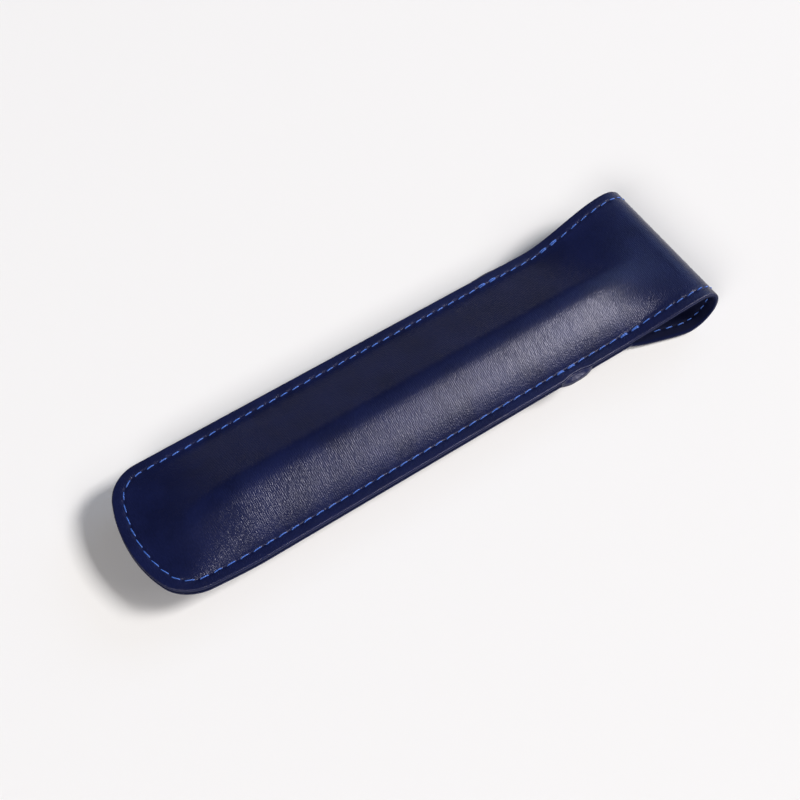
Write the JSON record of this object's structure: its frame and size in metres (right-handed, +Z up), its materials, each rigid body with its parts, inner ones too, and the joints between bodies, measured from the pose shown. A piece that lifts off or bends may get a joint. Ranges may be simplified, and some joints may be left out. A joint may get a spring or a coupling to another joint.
{
  "type": "single pen sleeve",
  "caption": "Flat leather sleeve for a pen, with a sewn rounded end, a folded-over flap and a keeper band that holds its tongue.",
  "frame": {"origin": "on the table under the middle of the closed sleeve's length and width", "axes": "+X from the rounded bottom end to the fold, +Y across, +Z up out of the plain back face"},
  "size_m": [0.1608, 0.0418, 0.0173],
  "materials": {
    "leather": "smooth navy calf, satin",
    "lining": "thin navy lining leather, matt",
    "thread": "bright blue waxed machine thread"
  },
  "bodies": {
    "sleeve": {"back_panel": "leather", "back_lining": "lining", "front_panel": "leather", "front_lining": "lining", "keeper_band": "leather", "seam_needle_thread": "thread", "seam_bobbin_thread": "thread", "neck_bobbin_thread": "thread", "band_tacks": "thread", "mouth_tacks": "thread"},
    "fold_1": {"fold_leather_1": "leather", "fold_lining_1": "lining", "fold_thread_1": "thread"},
    "fold_2": {"fold_leather_2": "leather", "fold_lining_2": "lining", "fold_thread_2": "thread"},
    "fold_3": {"fold_leather_3": "leather", "fold_lining_3": "lining", "fold_thread_3": "thread"},
    "flap": {"flap_panel": "leather", "flap_lining": "lining", "flap_needle_thread": "thread", "flap_bobbin_thread": "thread"}
  },
  "joints": [
    {"name": "flap_swing", "type": "hinge", "parent": "sleeve", "child": "fold_1", "pos_m": [0.07567, 0, 0.0144], "axis": [0, -1, 0], "range_deg": [0, 45], "deforming": ["keeper_band"]},
    {"name": "fold_bend_2", "type": "hinge", "parent": "fold_1", "child": "fold_2", "pos_m": [0.0796, 0, 0.01047], "axis": [0, -1, 0], "range_deg": [0, 45]},
    {"name": "fold_bend_3", "type": "hinge", "parent": "fold_2", "child": "fold_3", "pos_m": [0.0796, 0, 0.00493], "axis": [0, -1, 0], "range_deg": [0, 45]},
    {"name": "fold_bend_4", "type": "hinge", "parent": "fold_3", "child": "flap", "pos_m": [0.07567, 0, 0.001], "axis": [0, -1, 0], "range_deg": [0, 45]}
  ],
  "couplings": [
    {"joint": "fold_bend_2", "follows": "flap_swing", "ratio": 1},
    {"joint": "fold_bend_3", "follows": "flap_swing", "ratio": 1},
    {"joint": "fold_bend_4", "follows": "flap_swing", "ratio": 1}
  ]
}
